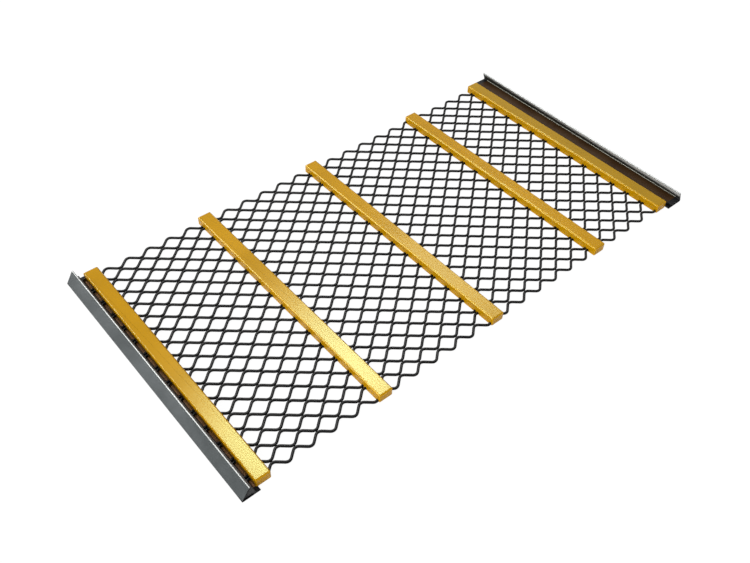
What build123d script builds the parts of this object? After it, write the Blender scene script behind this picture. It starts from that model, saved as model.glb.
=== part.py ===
# Self-cleaning screen mesh: zigzag spring-steel wires lie side by side, are
# held by moulded polyurethane strips, and end in two folded steel hook strips.
# Millimetres. X runs along the wires, Y across them and Z up. The origin is
# the middle of the rectangle that the hook strips stand on.
import os
from math import ceil, cos, radians, sin, sqrt, tan

from build123d import *

# Hook strips: one sheet each, folded double in the leg that leans in, with a
# flange below the wires and one above them
hook_span = 1148.5
hook_height = 28.0
hook_end_cover = 9.0
hook_sheet = 1.5
near_hook_lean = 33.0
far_hook_lean = 23.0
hook_fold_radius = 1.5
hem_radius = 1.4
near_upper_flange = 25.0
far_upper_flange = 35.5
near_flange_overlap = 3.5
far_flange_to_strip = 3.0

# Zigzag wires
wire_count = 29
wire_size = 5.4
wire_lane = 20.0
wire_gap = 0.4
bend_pitch = 23.1
first_bend_in = 30.0
near_wire_end_gap = 4.0
far_wire_end_in = 13.5

# Moulded cross strips: the outer two are set from their own hook strip and
# the ones between from the outside of the near one
strip_width = 30.0
strip_height = 19.0
strip_top_bevel = 3.0
strip_under_bevel = 1.0
strip_end_cover = 1.0
near_strip_in = 32.0
far_strip_in = 45.0
inner_strip_middles = [303.0, 580.0, 879.0]

# Sizes that follow from the ones above
near_edge = -hook_span / 2
far_edge = hook_span / 2
panel_width = wire_count * wire_lane
hook_length = panel_width + 2 * hook_end_cover
strip_length = panel_width + 2 * strip_end_cover
wire_base = hook_sheet
wire_top = wire_base + wire_size
near_lean = radians(near_hook_lean)
far_lean = radians(far_hook_lean)
leg_sheet = 2 * hook_sheet
outer_fold_radius = hook_fold_radius + hook_sheet
far_wire_end = far_edge - far_wire_end_in
first_bend = near_edge + first_bend_in
bend_numbers = range(-2, ceil(hook_span / bend_pitch) + 1)
lane_clear = wire_lane - wire_gap
near_lower_flange = near_strip_in + near_flange_overlap
far_lower_flange = far_strip_in - far_flange_to_strip
strip_middles = [near_edge + near_strip_in + strip_width / 2]
strip_middles += [near_edge + middle for middle in inner_strip_middles]
strip_middles += [far_edge - far_strip_in - strip_width / 2]

# Slope of a wire's legs: the bends fill the lane at a constant wire size
slope_square = bend_pitch**2 - wire_size**2
slope_middle = lane_clear * bend_pitch
slope_rest = lane_clear**2 - wire_size**2
leg_slope = (slope_middle - sqrt(slope_middle**2 - slope_square * slope_rest)) / slope_square
wire_across = wire_size * sqrt(1 + leg_slope**2)


def across_leg(lean, height, depth):
    """X of a line at this depth inside a leaning leg, from its sharp foot."""
    return depth / cos(lean) + height * tan(lean)


def fold_set_in(lean):
    """How much the rounded outer fold takes off a leg's sharp foot."""
    return outer_fold_radius * ((1 + sin(lean)) / cos(lean) - 1)


slot_inside = across_leg(near_lean, wire_top, hook_sheet) - fold_set_in(near_lean)
near_wire_end = near_edge + slot_inside + near_wire_end_gap


def lane_middle(number):
    """Y of the middle of a wire's lane, counted from the -Y side."""
    return (number - (wire_count - 1) / 2) * wire_lane


def bend_height(number, bend):
    """Distance of a wire's middle line from its lane's middle at a bend."""
    side = 1 if (number + bend) % 2 == 0 else -1
    return side * (lane_clear - wire_across) / 2


def wire_stations(number, start, stop):
    """Points of a wire's middle line from one X to another, bends included."""
    middle = lane_middle(number)
    stations = []
    for bend in bend_numbers:
        here = first_bend + bend * bend_pitch
        height = bend_height(number, bend)
        rise = bend_height(number, bend + 1) - height
        if start < here < stop:
            stations.append((here, middle + height))
        for cut in (start, stop):
            if here <= cut < here + bend_pitch:
                stations.append((cut, middle + height + rise * (cut - here) / bend_pitch))
    return sorted(stations)


def wire_outline(number, start, stop):
    """Closed outline of a wire in plan, one side out and the other back."""
    stations = wire_stations(number, start, stop)
    upper = [(x, y + wire_across / 2) for x, y in stations]
    lower = [(x, y - wire_across / 2) for x, y in stations]
    return upper + lower[::-1]


def make_wire(number):
    """One wire, bent to and fro across its lane from hook to hook."""
    with BuildPart() as wire:
        with BuildSketch(Plane.XY.offset(wire_base)):
            with BuildLine():
                Polyline(*wire_outline(number, near_wire_end, far_wire_end), close=True)
            make_face()
        extrude(amount=wire_size)
    return wire.part


def make_strip(middle):
    """One polyurethane strip, moulded round the wires and any flange edge."""
    start = middle - strip_width / 2
    stop = middle + strip_width / 2
    with BuildPart() as strip:
        with BuildSketch():
            with Locations((middle, 0)):
                Rectangle(strip_width, strip_length)
        extrude(amount=strip_height)
        chamfer(strip.faces().sort_by(Axis.Z)[-1].edges(), length=strip_top_bevel)
        chamfer(strip.faces().sort_by(Axis.Z)[0].edges(), length=strip_under_bevel)
        with BuildSketch(Plane.XY.offset(wire_base)):
            for number in range(wire_count):
                with BuildLine():
                    Polyline(*wire_outline(number, start, stop), close=True)
                make_face()
        extrude(amount=wire_size, mode=Mode.SUBTRACT)
        if start < near_edge + near_lower_flange:
            with BuildSketch():
                with Locations((near_edge + near_lower_flange, 0)):
                    Rectangle(2 * near_flange_overlap, strip_length, align=(Align.MAX, Align.CENTER))
            extrude(amount=hook_sheet, mode=Mode.SUBTRACT)
    return strip.part


def make_hook(side, lean, lower, upper):
    """One hook strip: two flanges that grip the wires, and the leaning leg."""
    upper_base = wire_top
    upper_top = wire_top + hook_sheet
    hem_loss = hem_radius * (sin(lean) + cos(lean) - 1)
    slant = (hook_height + hem_loss) / cos(lean)
    top_out = (slant * sin(lean), slant * cos(lean))
    top_in = (top_out[0] + leg_sheet * cos(lean), top_out[1] - leg_sheet * sin(lean))
    lower_end = lower + fold_set_in(lean)
    upper_end = upper + fold_set_in(lean)
    foot = (0, 0)
    slot_foot = (across_leg(lean, hook_sheet, hook_sheet), hook_sheet)
    slot_head = (across_leg(lean, upper_base, hook_sheet), upper_base)
    inner_fold = (across_leg(lean, upper_top, leg_sheet), upper_top)
    outline = [foot, (lower_end, 0), (lower_end, hook_sheet), slot_foot, slot_head]
    outline += [(upper_end, upper_base), (upper_end, upper_top), inner_fold, top_in, top_out]
    folds = [(foot, outer_fold_radius), (slot_foot, hook_fold_radius)]
    folds += [(inner_fold, hook_fold_radius), (top_in, hem_radius), (top_out, hem_radius)]
    shift = hook_span / 2 + fold_set_in(lean)
    with BuildPart() as hook:
        with BuildSketch(Plane.XZ) as profile:
            with BuildLine():
                Polyline(*[(side * (shift - x), z) for x, z in outline], close=True)
            make_face()
            for (x, z), radius in folds:
                corner = (side * (shift - x), z)
                fillet(profile.vertices().sort_by_distance(corner)[0], radius=radius)
        extrude(amount=hook_length / 2, both=True)
    return hook.part


def export_piece(piece, name):
    """Write one named piece to its own STEP file."""
    piece.label = name
    export_step(piece, "parts/" + name + ".step")


os.makedirs("parts", exist_ok=True)

for number in range(wire_count):
    export_piece(make_wire(number), "wire_" + str(number + 1).zfill(2))

for order, middle in enumerate(strip_middles):
    export_piece(make_strip(middle), "cross_strip_" + str(order + 1))

export_piece(make_hook(-1, near_lean, near_lower_flange, near_upper_flange), "hook_strip_near")
export_piece(make_hook(1, far_lean, far_lower_flange, far_upper_flange), "hook_strip_far")
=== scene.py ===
from math import asin, atan2, cos, pi, radians, sin, tan

import bmesh
import bpy
from mathutils import Matrix, Vector


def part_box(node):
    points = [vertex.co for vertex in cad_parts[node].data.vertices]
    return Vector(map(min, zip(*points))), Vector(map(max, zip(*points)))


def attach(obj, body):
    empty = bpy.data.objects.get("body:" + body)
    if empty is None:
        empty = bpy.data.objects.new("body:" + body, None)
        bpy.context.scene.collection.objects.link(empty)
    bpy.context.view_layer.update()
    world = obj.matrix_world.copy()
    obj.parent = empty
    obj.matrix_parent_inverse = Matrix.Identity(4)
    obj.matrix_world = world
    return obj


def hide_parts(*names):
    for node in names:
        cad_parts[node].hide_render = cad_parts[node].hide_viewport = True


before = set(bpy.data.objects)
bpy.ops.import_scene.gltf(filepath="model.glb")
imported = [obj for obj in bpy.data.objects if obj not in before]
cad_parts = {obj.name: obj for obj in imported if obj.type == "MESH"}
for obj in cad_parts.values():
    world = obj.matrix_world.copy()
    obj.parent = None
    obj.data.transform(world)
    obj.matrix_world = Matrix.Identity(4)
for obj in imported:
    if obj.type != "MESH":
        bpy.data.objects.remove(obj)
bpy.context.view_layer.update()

# Camera: it stands over the near corner of the panel and looks along it.
camera_data = bpy.data.cameras.new("camera")
camera_data.sensor_width = 36.0
camera_data.lens = 39.608
camera_data.clip_start = 0.01
camera = bpy.data.objects.new("camera", camera_data)
camera.location = (-0.84996, -0.89556, 1.17565)
camera.rotation_euler = (radians(43.4495), radians(-1.5777), radians(-40.2177))
bpy.context.scene.collection.objects.link(camera)
bpy.context.scene.camera = camera

# Studio: a white floor and white surroundings, which the camera and polished
# surfaces see as white, while the object keeps a faint shadow on the floor.
bpy.context.scene.view_settings.view_transform = "Standard"
ambient_strength = 0.42
floor_shadow = 0.1
floor_half = 12.0

world = bpy.data.worlds.new("white_surroundings")
bpy.context.scene.world = world
world.use_nodes = True
nodes = world.node_tree.nodes
links = world.node_tree.links
nodes.clear()
rays = nodes.new("ShaderNodeLightPath")
seen = nodes.new("ShaderNodeMath")
seen.operation = "MAXIMUM"
links.new(rays.outputs["Is Camera Ray"], seen.inputs[0])
links.new(rays.outputs["Is Glossy Ray"], seen.inputs[1])
seen.use_clamp = True
soft = nodes.new("ShaderNodeBackground")
soft.inputs["Color"].default_value = (1.0, 1.0, 1.0, 1.0)
soft.inputs["Strength"].default_value = ambient_strength
white = nodes.new("ShaderNodeBackground")
white.inputs["Color"].default_value = (1.0, 1.0, 1.0, 1.0)
white.inputs["Strength"].default_value = 1.0
mix = nodes.new("ShaderNodeMixShader")
out = nodes.new("ShaderNodeOutputWorld")
links.new(seen.outputs[0], mix.inputs[0])
links.new(soft.outputs[0], mix.inputs[1])
links.new(white.outputs[0], mix.inputs[2])
links.new(mix.outputs[0], out.inputs["Surface"])

floor_white = bpy.data.materials.new("floor_white")
floor_white.use_nodes = True
nodes = floor_white.node_tree.nodes
links = floor_white.node_tree.links
nodes.clear()
rays = nodes.new("ShaderNodeLightPath")
seen = nodes.new("ShaderNodeMath")
seen.operation = "MULTIPLY"
seen.inputs[1].default_value = 1.0 - floor_shadow
links.new(rays.outputs["Is Camera Ray"], seen.inputs[0])
matt = nodes.new("ShaderNodeBsdfDiffuse")
matt.inputs["Color"].default_value = (0.85, 0.85, 0.85, 1.0)
glow = nodes.new("ShaderNodeEmission")
glow.inputs["Color"].default_value = (1.0, 1.0, 1.0, 1.0)
glow.inputs["Strength"].default_value = 1.06
mix = nodes.new("ShaderNodeMixShader")
out = nodes.new("ShaderNodeOutputMaterial")
links.new(seen.outputs[0], mix.inputs[0])
links.new(matt.outputs[0], mix.inputs[1])
links.new(glow.outputs[0], mix.inputs[2])
links.new(mix.outputs[0], out.inputs["Surface"])

shape = bmesh.new()
bmesh.ops.create_grid(shape, x_segments=1, y_segments=1, size=floor_half)
floor_mesh = bpy.data.meshes.new("floor")
shape.to_mesh(floor_mesh)
shape.free()
floor_mesh.materials.append(floor_white)
floor = bpy.data.objects.new("floor", floor_mesh)
bpy.context.scene.collection.objects.link(floor)


def softbox(name, place, aim, size, power, only_shine=False):
    """One rectangular studio lamp that faces a point, its width kept level."""
    lamp_data = bpy.data.lights.new(name, "AREA")
    lamp_data.shape = "RECTANGLE"
    lamp_data.size = size[0]
    lamp_data.size_y = size[1]
    lamp_data.energy = power
    lamp = bpy.data.objects.new(name, lamp_data)
    lamp.location = place
    facing = Vector(aim) - Vector(place)
    lamp.rotation_euler = facing.to_track_quat("-Z", "Y").to_euler()
    lamp.visible_diffuse = not only_shine
    bpy.context.scene.collection.objects.link(lamp)


# The lamps overhead are aimed a little off straight down, which turns their
# long sides. The ones that only shine give the gloss along tops and edges.
overhead = (0.45, 0.93, 2.0)
overhead_aim = (0.453, 0.92, 0.0)
overhead_size = (1.1, 0.64)
softbox("top_softbox", overhead, overhead_aim, overhead_size, 14.0)
softbox("side_fill", (-5.0, -1.2, 3.5), (0.0, 0.0, 0.0), (3.0, 3.0), 280.0)
softbox("top_shine", overhead, overhead_aim, overhead_size, 80.0, only_shine=True)
softbox("faint_shine", (1.5, 1.1, 2.0), (1.5, 1.09, 0.0), (0.9, 0.8), 20.0, only_shine=True)
softbox("edge_shine", (-1.45, 1.0, 1.1), (0.0, 0.0, 0.0), (1.6, 1.2), 85.0, only_shine=True)

# Zigzag wires: 29 round spring-steel wires, 5.4 mm thick, each bent to and fro
# across its own 20 mm lane. They aren't woven: neighbours meet at the bends.
wire_count = 29
wire_radius = 0.0027
wire_lane = 0.020
bend_pitch = 0.0231
wire_gap = 0.0004
first_bend_x = -0.54425
wire_middle_z = 0.0042
wire_sides = 12
bend_steps = 5

leg_angle = atan2(wire_lane, bend_pitch)
crest = wire_lane / 2 - wire_gap / 2 - wire_radius
bend_radius = (wire_lane / 2 - crest) / (1 / cos(leg_angle) - 1)


def mottle_group():
    """Soft patches and fine grain over a surface, as masks and a bump height."""
    group = bpy.data.node_groups.new("mottle", "ShaderNodeTree")
    face = group.interface
    scale = face.new_socket("Patch Scale", in_out="INPUT", socket_type="NodeSocketFloat")
    scale.default_value = 20.0
    grain = face.new_socket("Grain Scale", in_out="INPUT", socket_type="NodeSocketFloat")
    grain.default_value = 400.0
    face.new_socket("Patches", in_out="OUTPUT", socket_type="NodeSocketFloat")
    face.new_socket("Grain", in_out="OUTPUT", socket_type="NodeSocketFloat")
    nodes = group.nodes
    links = group.links
    entry = nodes.new("NodeGroupInput")
    out = nodes.new("NodeGroupOutput")
    place = nodes.new("ShaderNodeTexCoord")
    patches = nodes.new("ShaderNodeTexNoise")
    patches.inputs["Detail"].default_value = 3.0
    patches.inputs["Roughness"].default_value = 0.55
    fine = nodes.new("ShaderNodeTexNoise")
    fine.inputs["Detail"].default_value = 2.0
    links.new(place.outputs["Object"], patches.inputs["Vector"])
    links.new(place.outputs["Object"], fine.inputs["Vector"])
    links.new(entry.outputs["Patch Scale"], patches.inputs["Scale"])
    links.new(entry.outputs["Grain Scale"], fine.inputs["Scale"])
    links.new(patches.outputs["Fac"], out.inputs["Patches"])
    links.new(fine.outputs["Fac"], out.inputs["Grain"])
    return group


mottle = mottle_group()


def finish_material(name, tones, roughness, patch_scale, grain_scale, bump):
    """A surface whose colour and gloss drift in patches over a fine grain."""
    material = bpy.data.materials.new(name)
    material.use_nodes = True
    nodes = material.node_tree.nodes
    links = material.node_tree.links
    shader = nodes["Principled BSDF"]
    marks = nodes.new("ShaderNodeGroup")
    marks.node_tree = mottle
    marks.inputs["Patch Scale"].default_value = patch_scale
    marks.inputs["Grain Scale"].default_value = grain_scale
    ramp = nodes.new("ShaderNodeValToRGB")
    ramp.color_ramp.elements[0].position = 0.36
    ramp.color_ramp.elements[0].color = (*tones[0], 1.0)
    ramp.color_ramp.elements[1].position = 0.64
    ramp.color_ramp.elements[1].color = (*tones[1], 1.0)
    links.new(marks.outputs["Patches"], ramp.inputs["Fac"])
    links.new(ramp.outputs["Color"], shader.inputs["Base Color"])
    gloss = nodes.new("ShaderNodeMapRange")
    gloss.inputs["To Min"].default_value = roughness[0]
    gloss.inputs["To Max"].default_value = roughness[1]
    links.new(marks.outputs["Patches"], gloss.inputs["Value"])
    links.new(gloss.outputs["Result"], shader.inputs["Roughness"])
    relief = nodes.new("ShaderNodeBump")
    relief.inputs["Strength"].default_value = bump
    relief.inputs["Distance"].default_value = 0.0002
    links.new(marks.outputs["Grain"], relief.inputs["Height"])
    links.new(relief.outputs["Normal"], shader.inputs["Normal"])
    return material


oiled_steel = finish_material("oiled_spring_steel", ((0.002, 0.002, 0.0025), (0.006, 0.0055, 0.005)),
                              (0.30, 0.42), 30.0, 900.0, 0.1)
oiled_steel.node_tree.nodes["Principled BSDF"].inputs["Specular IOR Level"].default_value = 0.12


def bend_side(number, bend):
    """1 where a wire's bend is on the +Y side of its lane, -1 on the other."""
    return 1 if (number + bend) % 2 == 0 else -1


def bend_centre(lane_y, side, bend):
    """The point that a wire turns round at a bend."""
    return Vector((first_bend_x + bend * bend_pitch, lane_y + side * (crest - bend_radius), wire_middle_z))


def spin_section(shape, rim, centre, turn):
    """Carry the wire's open rim round a bend."""
    steps = max(2, round(abs(turn) / (2 * leg_angle) * bend_steps))
    made = bmesh.ops.spin(shape, geom=rim, cent=centre, axis=(0.0, 0.0, 1.0), angle=turn,
                          steps=steps, use_merge=False, use_normal_flip=False, use_duplicate=False)
    return [part for part in made["geom_last"] if isinstance(part, bmesh.types.BMEdge)]


def make_wire(number, start_x, stop_x):
    """One round wire from hook to hook, cut off square at both its ends."""
    lane_y = (number - (wire_count - 1) / 2) * wire_lane
    bend = round((start_x - first_bend_x) / bend_pitch)
    last_bend = round((stop_x - first_bend_x) / bend_pitch)
    side = bend_side(number, bend)
    centre = bend_centre(lane_y, side, bend)
    lean = asin((start_x - centre.x) / bend_radius)
    shape = bmesh.new()
    bmesh.ops.create_circle(shape, cap_ends=True, segments=wire_sides, radius=wire_radius)
    bmesh.ops.rotate(shape, verts=shape.verts, matrix=Matrix.Rotation(pi / 2, 3, "Y"))
    bmesh.ops.translate(shape, verts=shape.verts, vec=centre + Vector((0.0, side * bend_radius, 0.0)))
    bmesh.ops.rotate(shape, verts=shape.verts, cent=centre, matrix=Matrix.Rotation(-side * lean, 3, "Z"))
    rim = list(shape.edges)
    turned = leg_angle - lean
    while bend < last_bend:
        rim = spin_section(shape, rim, centre, -side * turned)
        leave = centre + Matrix.Rotation(-side * leg_angle, 3, "Z") @ Vector((0.0, side * bend_radius, 0.0))
        bend += 1
        side = -side
        centre = bend_centre(lane_y, side, bend)
        meet = centre + Matrix.Rotation(side * leg_angle, 3, "Z") @ Vector((0.0, side * bend_radius, 0.0))
        made = bmesh.ops.extrude_edge_only(shape, edges=rim)["geom"]
        ring = [part for part in made if isinstance(part, bmesh.types.BMVert)]
        rim = [part for part in made if isinstance(part, bmesh.types.BMEdge)
               and all(vert in ring for vert in part.verts)]
        bmesh.ops.translate(shape, verts=ring, vec=meet - leave)
        turned = 2 * leg_angle
    turned = leg_angle + asin((stop_x - centre.x) / bend_radius)
    rim = spin_section(shape, rim, centre, -side * turned)
    bmesh.ops.contextual_create(shape, geom=rim)
    bmesh.ops.recalc_face_normals(shape, faces=shape.faces)
    for face in shape.faces:
        face.smooth = len(face.verts) == 4
    name = "zigzag_wire_" + str(number + 1).zfill(2)
    mesh = bpy.data.meshes.new(name)
    shape.to_mesh(mesh)
    shape.free()
    mesh.materials.append(oiled_steel)
    wire = bpy.data.objects.new(name, mesh)
    bpy.context.scene.collection.objects.link(wire)
    return wire


for number in range(wire_count):
    node = "wire_" + str(number + 1).zfill(2)
    node_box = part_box(node)
    wire = make_wire(number, node_box[0][0], node_box[1][0])
    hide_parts(node)
    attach(wire, "root")


# Cross strips: five bars of golden polyurethane, moulded round all the wires.
# Their upright corners are round, their top edges chamfered, and no edge sharp.
# The top of the fifth one is painted darker, as shade near the far hook, and is a little rougher.
strip_corner_radius = 0.0025
strip_top_bevel = 0.0022
strip_under_bevel = 0.001
strip_edge_radius = 0.0005

golden = finish_material("golden_polyurethane", ((0.50, 0.245, 0.0), (0.56, 0.275, 0.0)),
                         (0.16, 0.24), 9.0, 600.0, 0.03)
painted_shade_golden = finish_material("painted_shade_golden_polyurethane", ((0.40, 0.215, 0.0), (0.44, 0.235, 0.0)),
                              (0.20, 0.28), 9.0, 600.0, 0.03)
for polyurethane in (golden, painted_shade_golden):
    shader = polyurethane.node_tree.nodes["Principled BSDF"]
    shader.inputs["Specular IOR Level"].default_value = 0.25
    shader.inputs["Specular Tint"].default_value = (0.75, 1.0, 0.45, 1.0)


def soften_small_faces(shape):
    """Shade rounded edges softly and keep the large faces between them flat."""
    for face in shape.faces:
        face.smooth = True
    for edge in shape.edges:
        areas = [face.calc_area() for face in edge.link_faces]
        edge.smooth = max(areas) < 15 * min(areas) and edge.calc_face_angle(0.0) < radians(40)


def make_strip(name, low, high, top_material):
    """One moulded strip that fills its solid's box, with its own finish on top."""
    shape = bmesh.new()
    bmesh.ops.create_cube(shape, size=1.0)
    size = Vector(high) - Vector(low)
    bmesh.ops.scale(shape, verts=shape.verts, vec=size)
    bmesh.ops.translate(shape, verts=shape.verts, vec=(Vector(low) + Vector(high)) / 2)
    upright = [edge for edge in shape.edges if abs(edge.verts[0].co.z - edge.verts[1].co.z) > 1e-4]
    bmesh.ops.bevel(shape, geom=upright, offset=strip_corner_radius, offset_type="OFFSET",
                    affect="EDGES", segments=5, profile=0.5, material=-1)
    for level, bevel in ((high[2], strip_top_bevel), (low[2], strip_under_bevel)):
        rim = [edge for edge in shape.edges if all(abs(vert.co.z - level) < 1e-6 for vert in edge.verts)]
        bmesh.ops.bevel(shape, geom=rim, offset=bevel, offset_type="OFFSET", affect="EDGES",
                        segments=1, profile=0.5, material=-1)
    corners = [edge for edge in shape.edges if edge.calc_face_angle(0.0) > radians(30)]
    bmesh.ops.bevel(shape, geom=corners, offset=strip_edge_radius, offset_type="OFFSET",
                    affect="EDGES", segments=2, profile=0.5, material=-1)
    soften_small_faces(shape)
    for face in shape.faces:
        face.material_index = 1 if face.normal.z > 0.95 else 0
    mesh = bpy.data.meshes.new(name)
    shape.to_mesh(mesh)
    shape.free()
    mesh.materials.append(golden)
    mesh.materials.append(top_material)
    strip = bpy.data.objects.new(name, mesh)
    bpy.context.scene.collection.objects.link(strip)
    return strip


for order in range(5):
    node = "cross_strip_" + str(order + 1)
    low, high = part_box(node)
    # The fifth strip's top takes the darker colour: painted shade near the far hook.
    top_material = golden if order < 4 else painted_shade_golden
    strip = make_strip("polyurethane_strip_" + str(order + 1), low, high, top_material)
    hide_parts(node)
    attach(strip, "root")


# Hook strips: each is one steel sheet, doubled in the leg that leans in over
# the panel, with two flanges that grip the wire ends. The leg is blue-grey
# outside. Along its hem and inner fold, lighter steel is a painted highlight;
# the flanges, the cut ends and the inside of the leg are painted dark as shade,
# with painted reflections on the flanges and high inside the leg.
sheet = 0.0015
doubled = 2 * sheet
slot_top = 0.0069
upper_flange_top = slot_top + sheet
fold_radius = 0.0015
hem_radius = 0.0014
hem_depth = 0.004
fold_rise = 0.0018
near_upper_flange = 0.025
far_upper_flange = 0.0355
reflection_band_width = 0.0067
wire_band_half = 0.2885
edge_softness = 0.0002


def hook_finish(name, tones, roughness, metallic):
    """One finish of the hook sheet, real or painted light and shade; what isn't bare metal hardly shines."""
    material = finish_material(name, tones, roughness, 16.0, 700.0, 0.12)
    shader = material.node_tree.nodes["Principled BSDF"]
    shader.inputs["Metallic"].default_value = metallic
    shader.inputs["Specular IOR Level"].default_value = 0.1
    return material


finishes = {
    "outside": hook_finish("blue_grey_steel",
                           ((0.095, 0.105, 0.107), (0.120, 0.131, 0.134)), (0.26, 0.36), 1.0),
    # The hem is painted a little lighter than the outside, as part of the highlight along it.
    "hem": hook_finish("hem_steel",
                       ((0.130, 0.134, 0.131), (0.160, 0.164, 0.160)), (0.38, 0.48), 1.0),
    # The fold is painted lighter than the flanges and the leg's inside: a painted highlight along the inner
    # fold.
    "fold": hook_finish("fold_steel",
                        ((0.080, 0.080, 0.067), (0.100, 0.098, 0.084)), (0.34, 0.44), 1.0),
    # The flanges ("scale") are painted dark brown: painted shade under the leaning leg and a painted
    # reflection of the golden strips.
    "scale": hook_finish("flange_shade_reflection_steel",
                         ((0.034, 0.014, 0.003), (0.048, 0.023, 0.007)), (0.34, 0.50), 0.0),
    # Near the strips the lower flange is painted tan: a painted reflection of the golden strips and the white
    # surroundings.
    "painted_reflection": hook_finish("flange_reflection_steel",
                          ((0.42, 0.22, 0.10), (0.56, 0.33, 0.18)), (0.50, 0.60), 0.0),
    # The cut ends and the flanges past the wires are painted near-black as shade.
    "cut": hook_finish("painted_shade_steel",
                       ((0.006, 0.006, 0.007), (0.012, 0.012, 0.013)), (0.40, 0.50), 0.0),
    # The inside of the leg is painted near-black as shade.
    "inside": hook_finish("leg_inside_steel",
                          ((0.016, 0.016, 0.014), (0.022, 0.022, 0.019)), (0.40, 0.50), 0.0),
}
finish_order = list(finishes)


def paint_leg_reflection(material):
    """Paint a pale reflection on the inside of a leg near its hem, reaching lower towards -Y."""
    nodes = material.node_tree.nodes
    links = material.node_tree.links
    place = nodes.new("ShaderNodeTexCoord")
    parts = nodes.new("ShaderNodeSeparateXYZ")
    links.new(place.outputs["Object"], parts.inputs["Vector"])
    drift = nodes.new("ShaderNodeMath")
    drift.operation = "MULTIPLY_ADD"
    drift.inputs[1].default_value = -0.010
    links.new(parts.outputs["Y"], drift.inputs[0])
    links.new(parts.outputs["Z"], drift.inputs[2])
    painted_reflection = nodes.new("ShaderNodeMapRange")
    painted_reflection.interpolation_type = "SMOOTHSTEP"
    painted_reflection.inputs["From Min"].default_value = 0.0165
    painted_reflection.inputs["From Max"].default_value = 0.0270
    links.new(drift.outputs["Value"], painted_reflection.inputs["Value"])
    blend = nodes.new("ShaderNodeMix")
    blend.data_type = "RGBA"
    links.new(painted_reflection.outputs["Result"], blend.inputs["Factor"])
    colour_in = [socket for socket in blend.inputs if socket.type == "RGBA"]
    colour_out = [socket for socket in blend.outputs if socket.type == "RGBA"][0]
    links.new(nodes["Color Ramp"].outputs["Color"], colour_in[0])
    # Painted pale reflection of the white surroundings near the hem.
    colour_in[1].default_value = (0.62, 0.63, 0.62, 1.0)
    links.new(colour_out, nodes["Principled BSDF"].inputs["Base Color"])


paint_leg_reflection(finishes["inside"])


def into_leg(lean, height, depth):
    """How far in from its sharp foot a leaning leg is at a height and depth."""
    return depth / cos(lean) + height * tan(lean)


def hook_outline(lean, lower, upper, height):
    """The folded sheet's section with sharp corners, as distance in and height."""
    slant = (height + hem_radius * (sin(lean) + cos(lean) - 1)) / cos(lean)
    top = (slant * sin(lean), slant * cos(lean))
    outline = [(0.0, 0.0), (lower, 0.0), (lower, sheet), (into_leg(lean, sheet, sheet), sheet)]
    outline += [(into_leg(lean, slot_top, sheet), slot_top), (upper, slot_top), (upper, upper_flange_top)]
    outline += [(into_leg(lean, upper_flange_top, doubled), upper_flange_top)]
    outline += [(top[0] + doubled * cos(lean), top[1] - doubled * sin(lean)), top]
    return outline


def cut_across(shape, point, direction):
    """Part the faces along a plane, so that each side can have its own finish."""
    bmesh.ops.bisect_plane(shape, geom=[*shape.verts, *shape.edges, *shape.faces],
                           plane_co=point, plane_no=direction)


def fit_to_box(shape, low, size):
    """Take up the hair's breadth that rounded folds leave against the solid's box."""
    made_low = Vector([min(vert.co[axis] for vert in shape.verts) for axis in range(3)])
    made_high = Vector([max(vert.co[axis] for vert in shape.verts) for axis in range(3)])
    stretch = [wanted / made for wanted, made in zip(size, made_high - made_low)]
    bmesh.ops.translate(shape, verts=shape.verts, vec=-made_low)
    bmesh.ops.scale(shape, verts=shape.verts, vec=stretch)
    bmesh.ops.translate(shape, verts=shape.verts, vec=low)


def finish_of(face, side, lean, hook_top, reflection_band_edge):
    """Which finish, real or painted light and shade, a face of a hook strip takes."""
    middle = face.calc_center_median()
    outward = Vector((side * cos(lean), 0.0, sin(lean)))
    if abs(face.normal.y) > 0.9 or abs(middle.y) > wire_band_half and middle.z < upper_flange_top + sheet:
        return "cut"
    if middle.z > hook_top - hem_depth:
        return "hem"
    if face.normal.dot(outward) > 0.75:
        return "outside"
    # The lower flange's top near the strip takes the painted reflection.
    if face.normal.z > 0.9 and middle.z < sheet + 1e-4 and side * (middle.x - reflection_band_edge) < 0.0:
        return "painted_reflection"
    if middle.z > upper_flange_top + fold_rise:
        return "inside"
    return "fold" if middle.z > upper_flange_top + 1e-5 else "scale"


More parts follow.
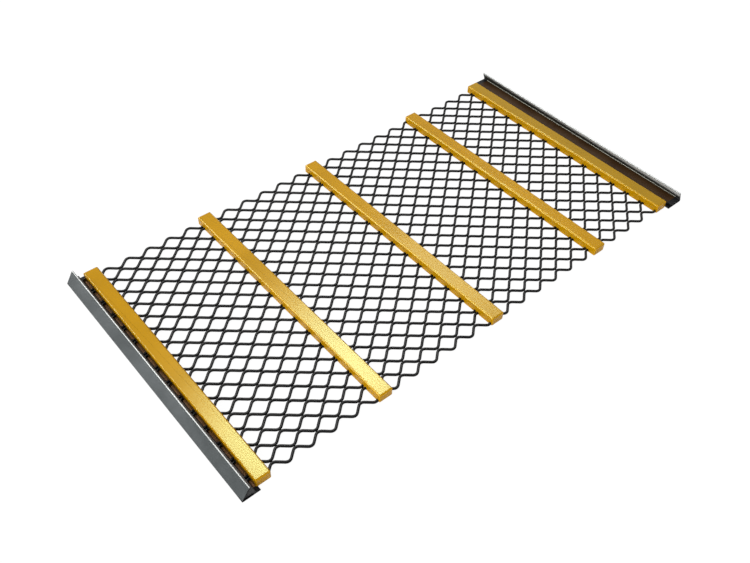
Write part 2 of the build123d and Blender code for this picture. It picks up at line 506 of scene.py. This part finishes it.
def make_hook(name, node, side, lean, upper_flange):
    """One folded hook strip, its folds rounded and its cut edges a little soft."""
    low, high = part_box(node)
    size = Vector(high) - Vector(low)
    set_in = (fold_radius + sheet) * ((1 + sin(lean)) / cos(lean) - 1)
    outline = hook_outline(lean, size.x + set_in, upper_flange + set_in, high[2])
    foot_x = (low[0] - set_in) if side < 0 else (high[0] + set_in)
    shape = bmesh.new()
    corners = [shape.verts.new((foot_x - side * along, low[1], height)) for along, height in outline]
    rim = shape.faces.new(corners)
    sweep = bmesh.ops.extrude_face_region(shape, geom=[rim])["geom"]
    swept = [part for part in sweep if isinstance(part, bmesh.types.BMVert)]
    bmesh.ops.translate(shape, verts=swept, vec=(0.0, size.y, 0.0))
    bmesh.ops.recalc_face_normals(shape, faces=shape.faces)
    fold_angle = pi / 2 - lean
    folds = {0: (fold_radius + sheet, fold_angle), 3: (fold_radius, fold_angle), 7: (fold_radius, fold_angle),
             8: (hem_radius, pi / 2), 9: (hem_radius, pi / 2)}
    place = {index: corner.co.copy() for index, corner in enumerate(corners)}
    for index, point in place.items():
        long_edges = [edge for edge in shape.edges
                      if all(abs(vert.co.x - point.x) < 1e-6 and abs(vert.co.z - point.z) < 1e-6
                             for vert in edge.verts)]
        radius, opening = folds.get(index, (edge_softness, pi / 2))
        bmesh.ops.bevel(shape, geom=long_edges, offset=radius / tan(opening / 2), offset_type="OFFSET",
                        affect="EDGES", segments=8 if index in folds else 2, profile=0.5, material=-1)
    fit_to_box(shape, low, size)
    reflection_band_edge = high[0] - reflection_band_width if side < 0 else low[0] + reflection_band_width
    cut_across(shape, (reflection_band_edge, 0.0, 0.0), (1.0, 0.0, 0.0))
    for end in (-wire_band_half, wire_band_half):
        cut_across(shape, (0.0, end, 0.0), (0.0, 1.0, 0.0))
    soften_small_faces(shape)
    for face in shape.faces:
        face.material_index = finish_order.index(finish_of(face, side, lean, high[2], reflection_band_edge))
    mesh = bpy.data.meshes.new(name)
    shape.to_mesh(mesh)
    shape.free()
    for finish in finish_order:
        mesh.materials.append(finishes[finish])
    hook = bpy.data.objects.new(name, mesh)
    bpy.context.scene.collection.objects.link(hook)
    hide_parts(node)
    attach(hook, "root")


make_hook("near_hook", "hook_strip_near", -1, radians(33.0), near_upper_flange)
make_hook("far_hook", "hook_strip_far", 1, radians(23.0), far_upper_flange)
